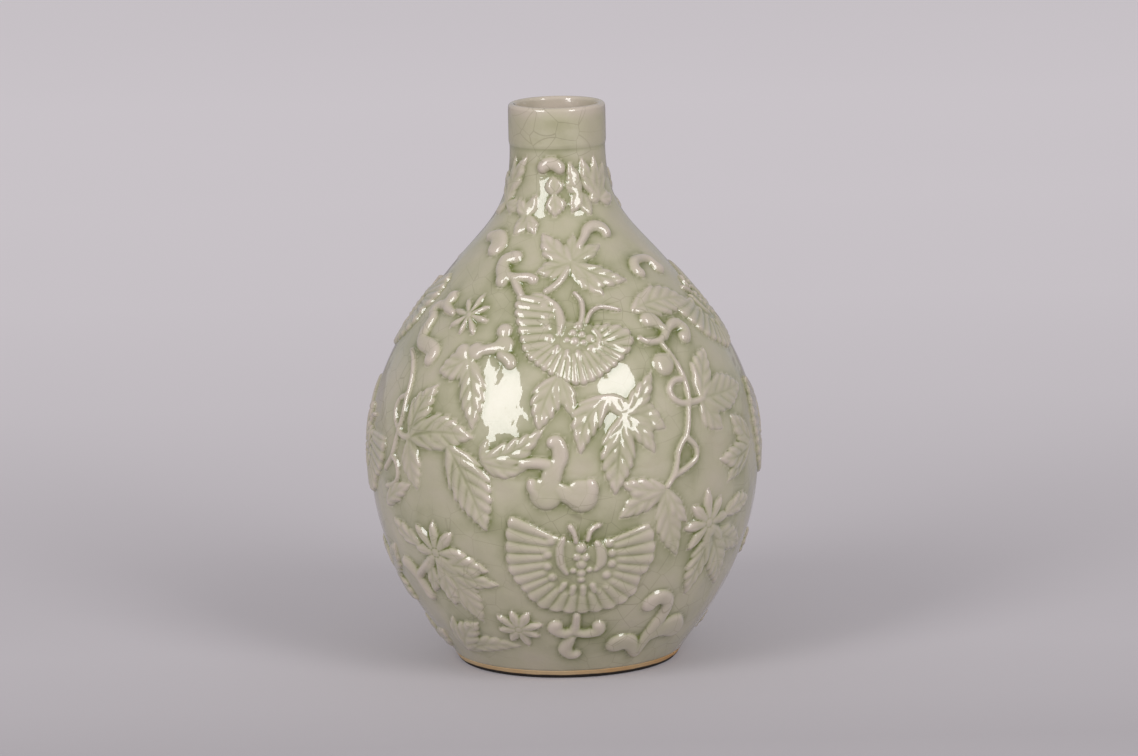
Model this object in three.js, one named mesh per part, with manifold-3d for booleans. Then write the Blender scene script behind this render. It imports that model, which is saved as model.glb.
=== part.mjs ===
// A celadon bottle vase with applied relief, in millimetres, standing on z = 0 with its axis on +Z.
// The pot is thrown in sections that are luted together with slip. The ornament is sprigged on: each
// butterfly, spray, flower, vine and scroll is a pad of clay, pressed in a mould and luted to the wall.
import * as THREE from "three";
import { mergeVertices } from "three/addons/utils/BufferGeometryUtils.js";
import Module from "manifold-3d";

const wasm = await Module();
wasm.setup();
const { degToRad, lerp, smoothstep } = THREE.MathUtils;

// Driving dimensions of the pot
const vaseHeight = 240;
const footRadius = 46.8;
const footFlare = 4.1;
const footHeight = 3.4;
const footRimWidth = 6.5;
const footBevel = 1.5;
const bellyRadius = 83.3;
const bellyHeight = 90.4;
const bellyCurveBelow = 53;
const bellyCurveAbove = 40.4;
const shoulderRadius = 47.3;
const shoulderHeight = 169;
const shoulderLean = 39;
const shoulderCurveBelow = 17;
const shoulderCurveAbove = 25;
const neckRadius = 20.3;
const neckCurve = 29;
const collarHeight = 18;
const collarStep = 0.5;
const lipRadius = 20.6;
const lipRound = 1.6;
const bodyWall = 4.6;
const neckWall = 3.2;
const floorThickness = 5;
const floorRound = 5;

// The slip that lutes one piece to the next, the most there is of it under a sprig, and what more there
// is under a strip, so that its underside lies within the leaves and wings that it crosses
const slipGap = 0.3;
const sprigSlip = 0.8;
const stripLift = 0.1;

// Relief heights above the wall
const leafRise = 1.9;
const petalRise = 2;
const scrollRise = 1.9;
const vineRise = 1.6;
const wingRise = 1.7;
const wingGroove = 1.1;
const bossRise = 2.3;

// Sizes that the leaves, petals and butterflies share. Angles are in degrees.
const leafValley = 1.8;
const wingReach = 24.5;
const wingSpread = 9.5;
const wingScallop = 1.4;
const wingHub = 4;
const wingEdgeAngle = 57;
const headLength = 9.5;
const tailLength = 12;
const bodyHalf = 5.5;
const bodyTipHalf = 1.6;
const feelerHalf = 1.2;
const feelerLength = 19;

// How finely the round forms are faceted
const turns = 40;
const lowerRings = 7;
const upperRings = 12;
const insideRings = 4;
const lipSides = 5;
const strokeStep = 6.5;
const bossSides = 6;
const wingRibs = 7;

const glaze = { color: 0xa8a287, roughness: 0.15, metalness: 0 };
const thinGlaze = { color: 0xbcb3a0, roughness: 0.15, metalness: 0 };
const biscuit = { color: 0x8c7355, roughness: 0.85, metalness: 0 };

// The outside of the wall from the foot to the collar, as a curve of radius and height
const collarFoot = vaseHeight - collarHeight;
const lean = degToRad(shoulderLean);
const leaning = new THREE.Vector2(-Math.sin(lean), Math.cos(lean));
const foot = new THREE.Vector2(footRadius, 0);
const belly = new THREE.Vector2(bellyRadius, bellyHeight);
const shoulder = new THREE.Vector2(shoulderRadius, shoulderHeight);
const neck = new THREE.Vector2(neckRadius, collarFoot);
const outside = new THREE.CurvePath();
outside.add(new THREE.CubicBezierCurve(
  foot, new THREE.Vector2(footRadius + footFlare, footFlare * 2.5),
  new THREE.Vector2(bellyRadius, bellyHeight - bellyCurveBelow), belly));
outside.add(new THREE.CubicBezierCurve(
  belly, new THREE.Vector2(bellyRadius, bellyHeight + bellyCurveAbove),
  shoulder.clone().addScaledVector(leaning, -shoulderCurveBelow), shoulder));
outside.add(new THREE.CubicBezierCurve(
  shoulder, shoulder.clone().addScaledVector(leaning, shoulderCurveAbove),
  new THREE.Vector2(neckRadius, collarFoot - neckCurve), neck));
const wallLength = outside.getLength();
const toBelly = outside.curves[0].getLength();

// The place on the wall and its outward direction, at a length along it from the foot
function wallAt(along) {
  const step = 0.002;
  const share = THREE.MathUtils.clamp(along / wallLength, 0, 1);
  const place = outside.getPoint(share);
  const before = outside.getPoint(Math.max(share - step, 0));
  const run = outside.getPoint(Math.min(share + step, 1)).sub(before).normalize();
  return { place, out: new THREE.Vector2(run.y, -run.x) };
}

function alongAtHeight(height) {
  let low = 0;
  let high = wallLength;
  while (high - low > 0.001) {
    const middle = (low + high) / 2;
    if (wallAt(middle).place.y < height) low = middle;
    else high = middle;
  }
  return low;
}

// Points up the wall between two lengths, moved inwards by inset
function wallPoints(from, to, rings, inset) {
  const points = [];
  for (let i = 0; i <= rings; i++) {
    const along = lerp(from, to, i / rings);
    const { place, out } = wallAt(along);
    points.push(place.addScaledVector(out, -inset(along)));
  }
  return points;
}

const onWall = () => 0;
const overSlip = () => -slipGap;
const inside = (along) => lerp(bodyWall, neckWall, smoothstep(along, toBelly, wallLength));

// A turned form from a closed outline of radius and height
function turned(points) {
  return new THREE.LatheGeometry([...points, points[0]], turns).rotateX(Math.PI / 2);
}

const vase = new THREE.Group();

function addPiece(name, geometry, finish) {
  const piece = new THREE.Mesh(geometry, new THREE.MeshStandardMaterial(finish));
  piece.name = name;
  vase.add(piece);
}

// The foot ring, unglazed, with its edge dark from iron
const footTop = footHeight - slipGap;
const footInside = footRadius - footRimWidth;
addPiece("foot_ring", turned([
  new THREE.Vector2(footInside, 0),
  foot,
  new THREE.Vector2(wallAt(alongAtHeight(footTop)).place.x, footTop),
  new THREE.Vector2(footInside - footBevel, footTop),
]), biscuit);

// The lower half of the body, a bowl with the floor of the vase, up to its widest line
const lowerTop = toBelly - slipGap / 2;
const floorTop = footHeight + floorThickness;
const insideFoot = alongAtHeight(floorTop + floorRound);
const [floorEdge] = wallPoints(insideFoot, lowerTop, 1, inside);
const lowerOutside = [alongAtHeight(footHeight), lowerTop, lowerRings];
addPiece("lower_body", turned([
  new THREE.Vector2(0, footHeight),
  ...wallPoints(...lowerOutside, onWall),
  ...wallPoints(insideFoot, lowerTop, insideRings, inside).reverse(),
  new THREE.Vector2(floorEdge.x - floorRound, floorTop),
  new THREE.Vector2(0, floorTop),
]), glaze);

// The upper half of the body, drawn in to the neck
const upperFoot = toBelly + slipGap / 2;
const upperOutside = [upperFoot, wallLength, upperRings];
addPiece("upper_body", turned([
  ...wallPoints(...upperOutside, onWall),
  ...wallPoints(upperFoot, wallLength, insideRings, inside).reverse(),
]), glaze);

// The collar, a little proud of the wall under it, with a rolled lip
const collarRadius = neckRadius + collarStep;
const collarEdge = collarFoot + slipGap;
const lipPoints = [];
for (let i = 0; i <= lipSides; i++) {
  const turn = (Math.PI * i) / lipSides;
  lipPoints.push(new THREE.Vector2(
    lipRadius - lipRound + lipRound * Math.cos(turn), vaseHeight - lipRound + lipRound * Math.sin(turn)));
}
addPiece("neck_collar", turned([
  new THREE.Vector2(neckRadius - neckWall, collarEdge),
  new THREE.Vector2(neckRadius, collarEdge),
  new THREE.Vector2(collarRadius, collarEdge + collarStep),
  ...lipPoints,
]), glaze);

// A closed geometry as a solid, and a solid as a geometry
function solidOf(geometry) {
  const bare = new THREE.BufferGeometry().setAttribute("position", geometry.getAttribute("position"));
  const merged = mergeVertices(bare.setIndex(geometry.index), 1e-4);
  return new wasm.Manifold(new wasm.Mesh({
    numProp: 3,
    vertProperties: merged.getAttribute("position").array,
    triVerts: new Uint32Array(merged.index.array),
  }));
}

function geometryOf(solid) {
  const mesh = solid.getMesh();
  const geometry = new THREE.BufferGeometry();
  geometry.setAttribute("position", new THREE.BufferAttribute(mesh.vertProperties, mesh.numProp));
  return geometry.setIndex(new THREE.BufferAttribute(mesh.triVerts, 1));
}

// The ornament is drawn in degrees round the wall, 0 in front and positive to the right, and in
// millimetres up a wall of this length, from the foot to the collar
const drawnLength = 250;
const stretch = wallLength / drawnLength;

// The faceted outside of the wall, at a length along it
function facetAt(along) {
  const [from, to, rings] = along < toBelly ? lowerOutside : upperOutside;
  const step = (to - from) / rings;
  const below = from + step * THREE.MathUtils.clamp(Math.floor((along - from) / step), 0, rings - 1);
  const [low, high] = wallPoints(below, below + step, 1, onWall);
  return low.lerp(high, (along - below) / step);
}

// A sheet laid flat on the wall about the middle of some places. Its x runs to the right, its y up.
class Sheet {
  constructor(places) {
    this.azimuth = places.reduce((sum, place) => sum + place[0], 0) / places.length;
    this.along = (stretch * places.reduce((sum, place) => sum + place[1], 0)) / places.length;
  }
  flat([azimuth, along]) {
    const radius = wallAt(along * stretch).place.x;
    return new THREE.Vector2(degToRad(azimuth - this.azimuth) * radius, along * stretch - this.along);
  }
  raised({ x, y }, rise) {
    const { place, out } = wallAt(this.along + y);
    const facet = facetAt(this.along + y);
    const angle = degToRad(this.azimuth) + x / place.x;
    const halfFacet = Math.PI / turns;
    const offMiddle = THREE.MathUtils.euclideanModulo(angle, 2 * halfFacet) - halfFacet;
    const radius = (facet.x * Math.cos(halfFacet)) / Math.cos(offMiddle) + out.x * rise;
    return [radius * Math.sin(angle), -radius * Math.cos(angle), facet.y + out.y * rise];
  }
}

// A closed solid from places and the triangles between them, turned to face out
function closed(places, faces) {
  const geometry = new THREE.BufferGeometry();
  geometry.setAttribute("position", new THREE.Float32BufferAttribute(places.flat(), 3));
  const solid = solidOf(geometry.setIndex(faces.flat()));
  if (solid.volume() > 0) return solid;
  return solidOf(geometry.setIndex(faces.map(([a, b, c]) => [a, c, b]).flat()));
}

// A closed solid through a row of sections with the same number of points
function loft(sections) {
  const size = sections[0].length;
  const end = (sections.length - 1) * size;
  const faces = [];
  for (let i = 0; i < end; i += size) {
    for (let j = 0; j < size; j++) {
      const next = (j + 1) % size;
      faces.push([i + j, i + next, i + next + size], [i + j, i + next + size, i + j + size]);
    }
  }
  for (let j = 1; j < size - 1; j++) {
    faces.push([0, j + 1, j], [end, end + j, end + j + 1]);
  }
  return closed(sections.flat(), faces);
}

// How far the room of a sprig reaches into the wall
const inWall = -2;

// Each part of a sprig is a function of a clearance. At 0 it gives the part, its edge thin on the slip.
// Otherwise it gives the room that the part takes up with the clearance round it, down into the wall.

// A strip along a curve in a sheet. Its top is flat over a share of its width, or a ridge.
function strip(sheet, curve, halfAt, rise, flat, steps) {
  return (clearance) => {
    const top = flat ? [-flat, flat] : [0];
    const rows = [];
    for (let i = 0; i <= steps; i++) {
      const run = curve.getTangent(i / steps);
      const half = halfAt(i / steps) + clearance;
      const placed = (across, height) => sheet.raised(
        curve.getPoint(i / steps).addScaledVector(new THREE.Vector2(run.y, -run.x), across * half), height);
      rows.push([
        ...(clearance ? [-1, 1] : top).map((across) => placed(across, rise + clearance)),
        placed(1, clearance ? inWall : sprigSlip + stripLift),
        placed(-1, clearance ? inWall : sprigSlip + stripLift),
      ]);
    }
    return loft(rows);
  };
}

// Blades with midribs that spread from a centre in a sheet, joined in valleys close to it. Each fullness
// is a share of the way to a blade's tip and the share of its half width there. Beside a neighbour it is
// less, so that no two blades cross.
function rosette(sheet, centre, blades, fullness, valley, rise) {
  const ways = blades.map(({ tip, width, bow = 0 }) => ({ way: tip.clone().sub(centre), width, bow }));
  ways.sort((a, b) => a.way.angle() - b.way.angle());
  const toNext = ways.map(({ way }, i) => {
    const turn = ways[(i + 1) % ways.length].way.angle() - way.angle();
    return turn > 0.001 ? turn : turn + 2 * Math.PI;
  });
  const besides = ({ way, bow }, share, aside) => new THREE.Vector2(-way.y, way.x).setLength(
    4 * bow * share * (1 - share) + aside).addScaledVector(way, share).add(centre);
  const outline = ways.flatMap((blade, i) => {
    const { way, width } = blade;
    const halfAt = ([share, full], turn) => Math.min(
      (width / 2) * full, 0.9 * share * way.length() * Math.tan(Math.min(turn, 3) / 2));
    return [
      ...fullness.map((at) => besides(blade, at[0], -halfAt(at, toNext.at(i - 1)))),
      besides(blade, 1, 0),
      ...fullness.map((at) => besides(blade, at[0], halfAt(at, toNext[i]))).reverse(),
      way.clone().setLength(valley).rotateAround(new THREE.Vector2(), toNext[i] / 2).add(centre),
    ];
  });
  const roomOf = (blade, clearance) => {
    const beyond = clearance / blade.way.length();
    return loft([[-beyond, 0.3], ...fullness, [1 + beyond, 0]].map(([share, full]) => {
      const half = clearance + (blade.width / 2) * full;
      return [[-1, rise + clearance], [1, rise + clearance], [1, inWall], [-1, inWall]].map(
        ([side, height]) => sheet.raised(besides(blade, share, side * half), height));
    }));
  };
  return (clearance) => {
    if (clearance) return wasm.Manifold.union(ways.map((blade) => roomOf(blade, clearance)));
    const places = [
      ...outline.map((point) => sheet.raised(point, sprigSlip)),
      sheet.raised(centre, rise),
      sheet.raised(centre, sprigSlip),
    ];
    const crown = outline.length;
    const faces = [];
    ways.forEach((blade, i) => {
      const size = 2 * fullness.length + 2;
      const onOutline = (j) => (i * size + j + crown) % crown;
      let ladder = [onOutline(-1), crown, onOutline(size - 1)];
      faces.push([crown + 1, ladder[2], ladder[0]]);
      const linkTo = (rung) => {
        for (let j = 0; j < 3; j++) {
          const next = (j + 1) % 3;
          faces.push([ladder[j], rung[j], rung[next]], [ladder[j], rung[next], ladder[next]]);
        }
        ladder = rung;
      };
      fullness.forEach(([share], j) => {
        const midrib = places.push(sheet.raised(besides(blade, share, 0), rise)) - 1;
        linkTo([onOutline(j), midrib, onOutline(size - 2 - j)]);
      });
      const tip = onOutline(fullness.length);
      faces.push([ladder[0], tip, ladder[1]], [ladder[1], tip, ladder[2]], [ladder[2], tip, ladder[0]]);
    });
    return closed(places, faces);
  };
}

// Leaves that spread from one node, each given by its tip, its greatest width and its bow to the left
function spray(node, leaves) {
  const sheet = new Sheet([node, ...leaves.map(([tip]) => tip)]);
  const blades = leaves.map(([tip, width, bow]) => ({ tip: sheet.flat(tip), width, bow }));
  return rosette(sheet, sheet.flat(node), blades, [[0.3, 0.75], [0.65, 1]], leafValley, leafRise);
}

// A flower of pointed petals. The first petal points to turn, in degrees from the right.
function flower(place, petals, length, width, turn) {
  const blades = [];
  for (let i = 0; i < petals; i++) {
    const angle = degToRad(turn + (360 * i) / petals);
    blades.push({ tip: new THREE.Vector2(length, 0).rotateAround(new THREE.Vector2(), angle), width });
  }
  return rosette(new Sheet([place]), new THREE.Vector2(), blades, [[0.6, 1]], length * 0.2, petalRise);
}

// A scroll or vine through places, its half width passing evenly through the radii, round at its ends
function stroke(places, radii, rise = scrollRise) {
  const sheet = new Sheet(places);
  const curve = new THREE.SplineCurve(places.map((place) => sheet.flat(place)));
  const length = curve.getLength();
  const halfAt = (share) => {
    const at = Math.min(share, 0.9999) * (radii.length - 1);
    const half = lerp(radii[Math.floor(at)], radii[Math.floor(at) + 1], at % 1);
    const toEnd = Math.min(1, 0.12 + (Math.min(share, 1 - share) * length) / half);
    return half * Math.sqrt(1 - (1 - toEnd) ** 2);
  };
  const flat = rise === vineRise ? 0 : 0.5;
  return strip(sheet, curve, halfAt, rise, flat, Math.max(3, Math.round(length / strokeStep)));
}

function vine(places, half) {
  return stroke(places, [half, half], vineRise);
}

// A low round boss
function boss(place, radius) {
  const sheet = new Sheet([place]);
  const ring = (share, height) => Array.from({ length: bossSides }, (_, i) => sheet.raised(
    new THREE.Vector2(radius * share, 0).rotateAround(new THREE.Vector2(), (2 * Math.PI * i) / bossSides),
    height));
  return (clearance) => {
    const whole = 1 + clearance / radius;
    if (clearance) return loft([ring(whole, inWall), ring(whole, bossRise + clearance)]);
    return loft([ring(1, sprigSlip), ring(0.8, 0.8 * bossRise), ring(0.4, bossRise)]);
  };
}

// A butterfly with ribbed wings spread in one fan, a long body and two feelers.
// It is drawn with its head up and turned anticlockwise by turn, in degrees.
function butterfly(place, turn, size) {
  const sheet = new Sheet([place]);
  const at = (angle, reach) => new THREE.Vector2(0, reach * size).rotateAround(
    new THREE.Vector2(), degToRad(turn + angle));
  const wings = (clearance) => {
    const rows = [];
    for (let i = 0; i <= 2 * wingRibs; i++) {
      const angle = lerp(wingEdgeAngle, 360 - wingEdgeAngle, i / (2 * wingRibs));
      const onRib = i % 2;
      const reach = wingReach + wingSpread * Math.abs(Math.sin(degToRad(angle))) - (onRib ? 0 : wingScallop);
      const height = onRib ? wingRise : wingGroove;
      const beyond = reach + clearance / size;
      const section = clearance ? [
        [wingHub, inWall], [wingHub, wingRise + clearance], [beyond, wingRise + clearance], [beyond, inWall],
      ] : [
        [wingHub, sprigSlip], [0.5 * reach, height], [0.85 * reach, height], [reach, sprigSlip],
        [0.7 * reach, sprigSlip], [0.4 * reach, sprigSlip],
      ];
      rows.push(section.map(([out, up]) => sheet.raised(at(angle, out), up)));
    }
    return loft(rows);
  };
  const limb = (points, middleHalf, tipHalf, rise, flat, steps) => strip(
    sheet, new THREE.SplineCurve(points.map(([angle, reach]) => at(angle, reach))),
    (share) => size * lerp(middleHalf, tipHalf, Math.abs(2 * share - 1)), rise, flat, steps);
  const feeler = (side) => limb(
    [[side * 10, headLength - 1], [side * 9, (headLength + feelerLength) / 2], [side * 24, feelerLength]],
    feelerHalf, feelerHalf, vineRise, 0, 3);
  const body = limb(
    [[0, headLength], [0, 0], [180, tailLength]], bodyHalf, bodyTipHalf, bossRise, 0.5, 4);
  return [wings, body, feeler(-1), feeler(1)];
}

// All that lies inside the slip on the wall, and then also the room of each sprig
let taken = solidOf(turned([
  new THREE.Vector2(0, inWall),
  new THREE.Vector2(footRadius + slipGap, inWall),
  ...wallPoints(...lowerOutside, overSlip),
  ...wallPoints(...upperOutside, overSlip),
  new THREE.Vector2(collarRadius + slipGap, collarEdge + collarStep),
  new THREE.Vector2(collarRadius + slipGap, vaseHeight),
  new THREE.Vector2(0, vaseHeight),
]));

// A sprig of joined parts, clear of what is taken. Its room is also taken on the other half of the wall.
function sprig(...parts) {
  const whole = wasm.Manifold.union(parts.flat().map((part) => part(0)));
  const room = wasm.Manifold.union(parts.flat().map((part) => part(slipGap)));
  const [body] = whole.subtract(taken).decompose().sort((a, b) => b.volume() - a.volume());
  taken = wasm.Manifold.union([taken, room, solidOf(geometryOf(room).rotateZ(Math.PI))]);
  return geometryOf(body);
}

// The ornament, which fills half the wall and is repeated on the other half
const ornament = {
  butterfly_low: () => sprig(butterfly([4.5, 66], -4, 1)),
  butterfly_high: () => sprig(butterfly([4, 165.5], -26, 0.8)),
  butterfly_right: () => sprig(butterfly([83, 168], 24, 0.8)),
  butterfly_left: () => sprig(butterfly([-85, 108], -18, 0.85)),
  scroll_middle: () => sprig(
    stroke([[-3.6, 117.5], [-1.5, 118.5], [-0.4, 113], [-3, 107], [-4.6, 97.5], [-5.2, 91]],
      [2.2, 3.4, 3.2, 3, 6.5, 6.5]),
    stroke([[-4, 94], [2, 93.5], [6, 96.5], [5.5, 101.5]], [4, 5.5, 5.5, 3]),
    stroke([[-3, 108], [-9, 110.5], [-15, 111], [-22, 112.5]], [2.4, 1.8, 1.4, 1.2]),
    spray([-22, 112.5], [[[-6, 124], 10, -2], [[-24.5, 119], 4], [[-15, 104], 5]])),
  scroll_foot: () => sprig(
    stroke([[3.4, 39.5], [3, 34], [2, 29.5]], [1.3, 1.8, 2.4]),
    stroke([[-2.6, 36], [-4.3, 33], [-1.5, 29.5], [2.5, 31], [6.5, 29], [10.6, 31], [10.2, 35.5]],
      [2.4, 2.8, 2.6, 2.2, 2.6, 2.8, 2.2]),
    stroke([[1.6, 30], [-0.6, 25], [-1, 19.5], [1.5, 16.5], [4.6, 16.6]], [2, 2.6, 3, 3, 2.4])),
  scroll_foot_right: () => sprig(
    stroke([[29.4, 39.5], [30, 43.5], [33.5, 45], [37, 40.5], [34.8, 32], [32.6, 24], [31.6, 14]],
      [2.8, 3.4, 3, 2.7, 2.6, 3, 2.4]),
    stroke([[32, 17], [27, 22], [22, 22], [18.6, 18], [21.5, 16]], [2.4, 4, 4.6, 4.4, 3]),
    stroke([[33, 24], [39, 27.5], [45, 28], [50, 24]], [3, 5, 6, 4])),
  flower_foot: () => sprig(flower([-18.5, 31.5], 8, 10, 3.6, 3)),
  leaves_foot: () => sprig(
    spray([-50, 14], [[[-35, 32], 8, 2], [[-46, 33], 6, 1], [[-19, 19.5], 8, 3]])),
  flower_left: () => sprig(
    flower([-43, 69], 8, 13.5, 5, 0),
    spray([-42, 58], [[[-23, 61], 8, 1.5], [[-21, 54.5], 8, -1.5], [[-32.5, 32.5], 12, 2], [[-41, 42], 7]]),
    stroke([[-64, 58], [-60, 57], [-56.5, 52], [-54.5, 46], [-54, 42]], [3, 4, 3, 3.4, 3.6]),
    stroke([[-57, 52], [-53.5, 57], [-47, 66]], [2.4, 2, 1.6])),
  vine_left: () => sprig(
    vine([[-66, 152], [-61, 148], [-57.5, 140], [-56.8, 130], [-57, 122], [-58.5, 114], [-60.5, 106],
      [-65, 99]], 1.5),
    vine([[-57, 133], [-60.6, 130.5], [-61.6, 125.5], [-60, 120.5], [-57.6, 118]], 1.3),
    vine([[-60.5, 107], [-57.3, 102.5], [-57.3, 97], [-60.5, 93.5], [-65, 92]], 1.4),
    vine([[-58, 118], [-54, 115.5], [-49, 117.5]], 1.5),
    spray([-49, 117], [
      [[-51.5, 132], 5, -1], [[-43.5, 140], 8, 1], [[-26.5, 119], 12, 2], [[-46.5, 95], 8, -1]]),
    spray([-40, 112], [[[-22.5, 79], 15, 3], [[-50, 116.5], 3]])),
  leaves_centre: () => sprig(
    spray([18, 126], [
      [[5, 125.5], 9, -2], [[5, 112], 9, -1.5], [[14.5, 96], 7.5], [[18.6, 98], 7, 0.5],
      [[27, 111.5], 8, 1.5], [[31.5, 121.5], 8, 1.5], [[30, 145.5], 8, -1], [[14.5, 142], 7]]),
    vine([[18, 126], [7, 134], [-1, 144]], 1.3),
    spray([-1, 144], [[[-6, 126], 9, 1], [[0.5, 128.5], 6], [[-9, 141], 5, 1]])),
  vine_right: () => sprig(
    stroke([[33.5, 168], [37.5, 169], [41.5, 166], [42.6, 161.5], [37, 157.6], [30, 160]],
      [2.6, 3.4, 2.6, 2, 1.6, 1.2]),
    stroke([[41, 160.5], [46, 165], [51, 165.5], [53.4, 161.5], [49.5, 158.5]], [1.8, 2.2, 2.6, 3, 2.6]),
    vine([[37.5, 158], [41, 152], [42.6, 144], [42.4, 136], [41, 128], [39, 120], [35.6, 111], [31, 98]], 1.4),
    vine([[42, 141.5], [38.4, 140.5], [36, 136.5], [37.6, 132], [42, 130.6], [47, 130.5]], 1.2),
    vine([[38.6, 116], [41.2, 111], [39.6, 106], [34, 102.5]], 1.3),
    boss([36, 148], 4.6),
    vine([[37, 150], [40, 151.5]], 1.4),
    spray([46.5, 130.5], [[[57.5, 151], 9, 1.5], [[69, 132], 12, -1], [[54.5, 116.5], 8, -1.5]])),
  leaves_right_low: () => sprig(
    spray([31, 96.5], [[[17, 98], 8, 1.5], [[17, 85.5], 7.5, -1], [[36, 65.5], 9, -2], [[38.5, 80], 5, -1]])),
  flower_right: () => sprig(
    flower([49, 76.5], 8, 14, 5, 8),
    spray([49, 68], [[[44.5, 43.5], 8.5, -1.5], [[60.5, 45.5], 9, 1], [[67, 64], 7, 1]])),
  leaves_right_edge: () => sprig(
    spray([68, 104], [[[51, 104.5], 7, 1], [[60, 121], 9], [[56, 93], 8]])),
  leaves_shoulder: () => sprig(
    spray([7, 199], [
      [[-14, 215], 8, 1], [[-15, 203], 7, 0.5], [[30, 208], 7, 1], [[37, 190], 8.5, -1.5],
      [[21, 183.5], 7.5, -1], [[11, 214], 6]]),
    vine([[6, 198], [1, 191], [-3, 188], [-8, 184.8]], 1.4),
    stroke([[10, 205], [17.5, 211.5], [22, 215.5], [29, 217.6], [37, 216.5], [40.5, 212.5]],
      [1, 1, 1.5, 2, 2.6, 2.4])),
  scroll_shoulder_left: () => sprig(
    stroke([[-23, 202.5], [-29, 203.8], [-35, 201], [-35, 196], [-31, 191.5], [-31.5, 187]],
      [1.6, 2.4, 2.6, 3, 3.4, 3]),
    stroke([[-32, 192], [-25, 191.6], [-17, 192], [-12, 190.5]], [2.6, 2.4, 2.2, 2.4]),
    stroke([[-25, 191], [-21, 187], [-17.6, 184]], [2, 1.6, 1.4])),
  scroll_side_high: () => sprig(
    stroke([[-47.5, 203.5], [-45.5, 207], [-50, 210.6], [-58, 211], [-64, 210]], [3, 3.4, 2.8, 2, 1.2])),
  scroll_side: () => sprig(
    stroke([[-57, 182], [-58.5, 177], [-56.5, 173.8], [-51, 172]], [4, 2.8, 2.2, 1.4]),
    stroke([[-61.5, 168], [-65.5, 170], [-63.5, 174], [-57, 174.6]], [2.6, 3, 2.4, 2]),
    stroke([[-62.5, 169], [-62.5, 161.5], [-60, 157], [-54.5, 155], [-50.5, 152], [-52.5, 148]],
      [1.4, 3.6, 3, 2.8, 3, 2.6])),
  star_left: () => sprig(flower([-41, 172.5], 8, 10.5, 2.6, -10)),
  scroll_right: () => sprig(
    stroke([[49.5, 190], [45.5, 192.3], [47.5, 196.3], [54, 197.6], [61, 196], [64, 191.5], [68, 189.5]],
      [2.2, 3, 2.4, 2, 2.2, 3, 2.6])),
  leaf_veined: () => sprig(spray([33, 176], [[[63.5, 172], 13, 2]])),
  leaves_left_high: () => sprig(
    boss([-37, 152.5], 4), boss([-31.5, 154], 4.2),
    spray([-31.5, 149], [[[-44, 147], 7.5, -1], [[-27.5, 124], 8, 1.5], [[-28.5, 142], 5, -1]]),
    stroke([[-33, 154], [-27, 156.5], [-25, 162], [-22.5, 167]], [2, 4, 4, 3])),
  neck_scroll: () => sprig(stroke([[-24, 242], [-17, 245.4], [-6, 245.4], [3, 242.5]], [1.2, 1.7, 1.8, 1.4])),
  neck_leaves_left: () => sprig(spray([-62, 228], [
    [[-31, 247], 5, 1], [[-52, 246], 4], [[-38, 225], 5, -1], [[-84, 240], 5, -1], [[-82, 222], 4]])),
  neck_leaves: () => sprig(spray([-2, 222], [[[-22, 236], 4.5], [[2, 238], 4.5], [[22, 234], 4.5]])),
  neck_leaves_right: () => sprig(
    spray([40, 227], [[[16, 244], 5, 1], [[52, 246], 5], [[66, 236], 5], [[60, 222], 4]])),
};

for (const [name, makeSprig] of Object.entries(ornament)) {
  const geometry = makeSprig();
  addPiece(name, geometry, thinGlaze);
  addPiece(`${name}_back`, geometry.clone().rotateZ(Math.PI), thinGlaze);
}

vase.updateMatrixWorld(true);
export default vase;
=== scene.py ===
import bmesh
import bpy
import math
import numpy as np
from mathutils import Matrix, Vector
from mathutils.geometry import interpolate_bezier


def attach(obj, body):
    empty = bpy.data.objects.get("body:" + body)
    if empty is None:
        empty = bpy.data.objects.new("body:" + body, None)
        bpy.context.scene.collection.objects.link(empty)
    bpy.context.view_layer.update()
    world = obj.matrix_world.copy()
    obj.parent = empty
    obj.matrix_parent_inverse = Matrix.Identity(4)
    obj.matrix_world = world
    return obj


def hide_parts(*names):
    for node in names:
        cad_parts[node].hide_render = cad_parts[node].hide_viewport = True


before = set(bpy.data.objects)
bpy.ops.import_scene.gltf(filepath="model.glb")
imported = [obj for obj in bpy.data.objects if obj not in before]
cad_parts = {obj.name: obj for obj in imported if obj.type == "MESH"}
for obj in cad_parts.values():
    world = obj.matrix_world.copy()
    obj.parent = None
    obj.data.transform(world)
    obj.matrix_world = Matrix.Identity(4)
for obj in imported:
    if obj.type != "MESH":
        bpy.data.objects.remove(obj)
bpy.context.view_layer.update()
scene = bpy.context.scene
mm = 0.001

# The outside of the wall from the foot to the collar: radius and height in millimetres. The ornament is
# drawn in degrees round it, 0 in front, and in millimetres up it, 250 from the foot to the collar.
wall = {"knots": [(46.8, 0), (83.3, 90.4), (47.3, 169), (20.3, 222)],
        "handles": [((50.9, 10.25), (83.3, 37.4)), ((83.3, 130.8), (58, 155.79)),
                    ((31.57, 188.43), (20.3, 193))],
        "drawn": 250, "thickAtBelly": 4.6, "thickAtNeck": 3.2, "floorTop": 8.4, "floorRound": 5,
        "steps": 420, "rows": 160}


def sampleWall():
    line = []
    for start, end, (leave, reach) in zip(wall["knots"], wall["knots"][1:], wall["handles"]):
        corners = [Vector((*corner, 0)) for corner in (start, leave, reach, end)]
        line += interpolate_bezier(*corners, 500)[:-1]
    line = np.array([point[:2] for point in line] + [wall["knots"][-1]])
    along = np.concatenate([[0], np.cumsum(np.hypot(*np.diff(line, axis=0).T))])
    way = np.gradient(line, along, axis=0)
    way /= np.hypot(*way.T)[:, None]
    return along * wall["drawn"] / along[-1], line[:, 0], line[:, 1], way[:, 1], -way[:, 0]


wallAlong, wallRadius, wallHeight, wallOut, wallUp = sampleWall()
footRadius, neckRadius = wall["knots"][0][0], wall["knots"][-1][0]


def radiusAt(along):
    return np.interp(along, wallAlong, wallRadius)


def alongAt(height):
    return float(np.interp(height, wallHeight, wallAlong))


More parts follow.
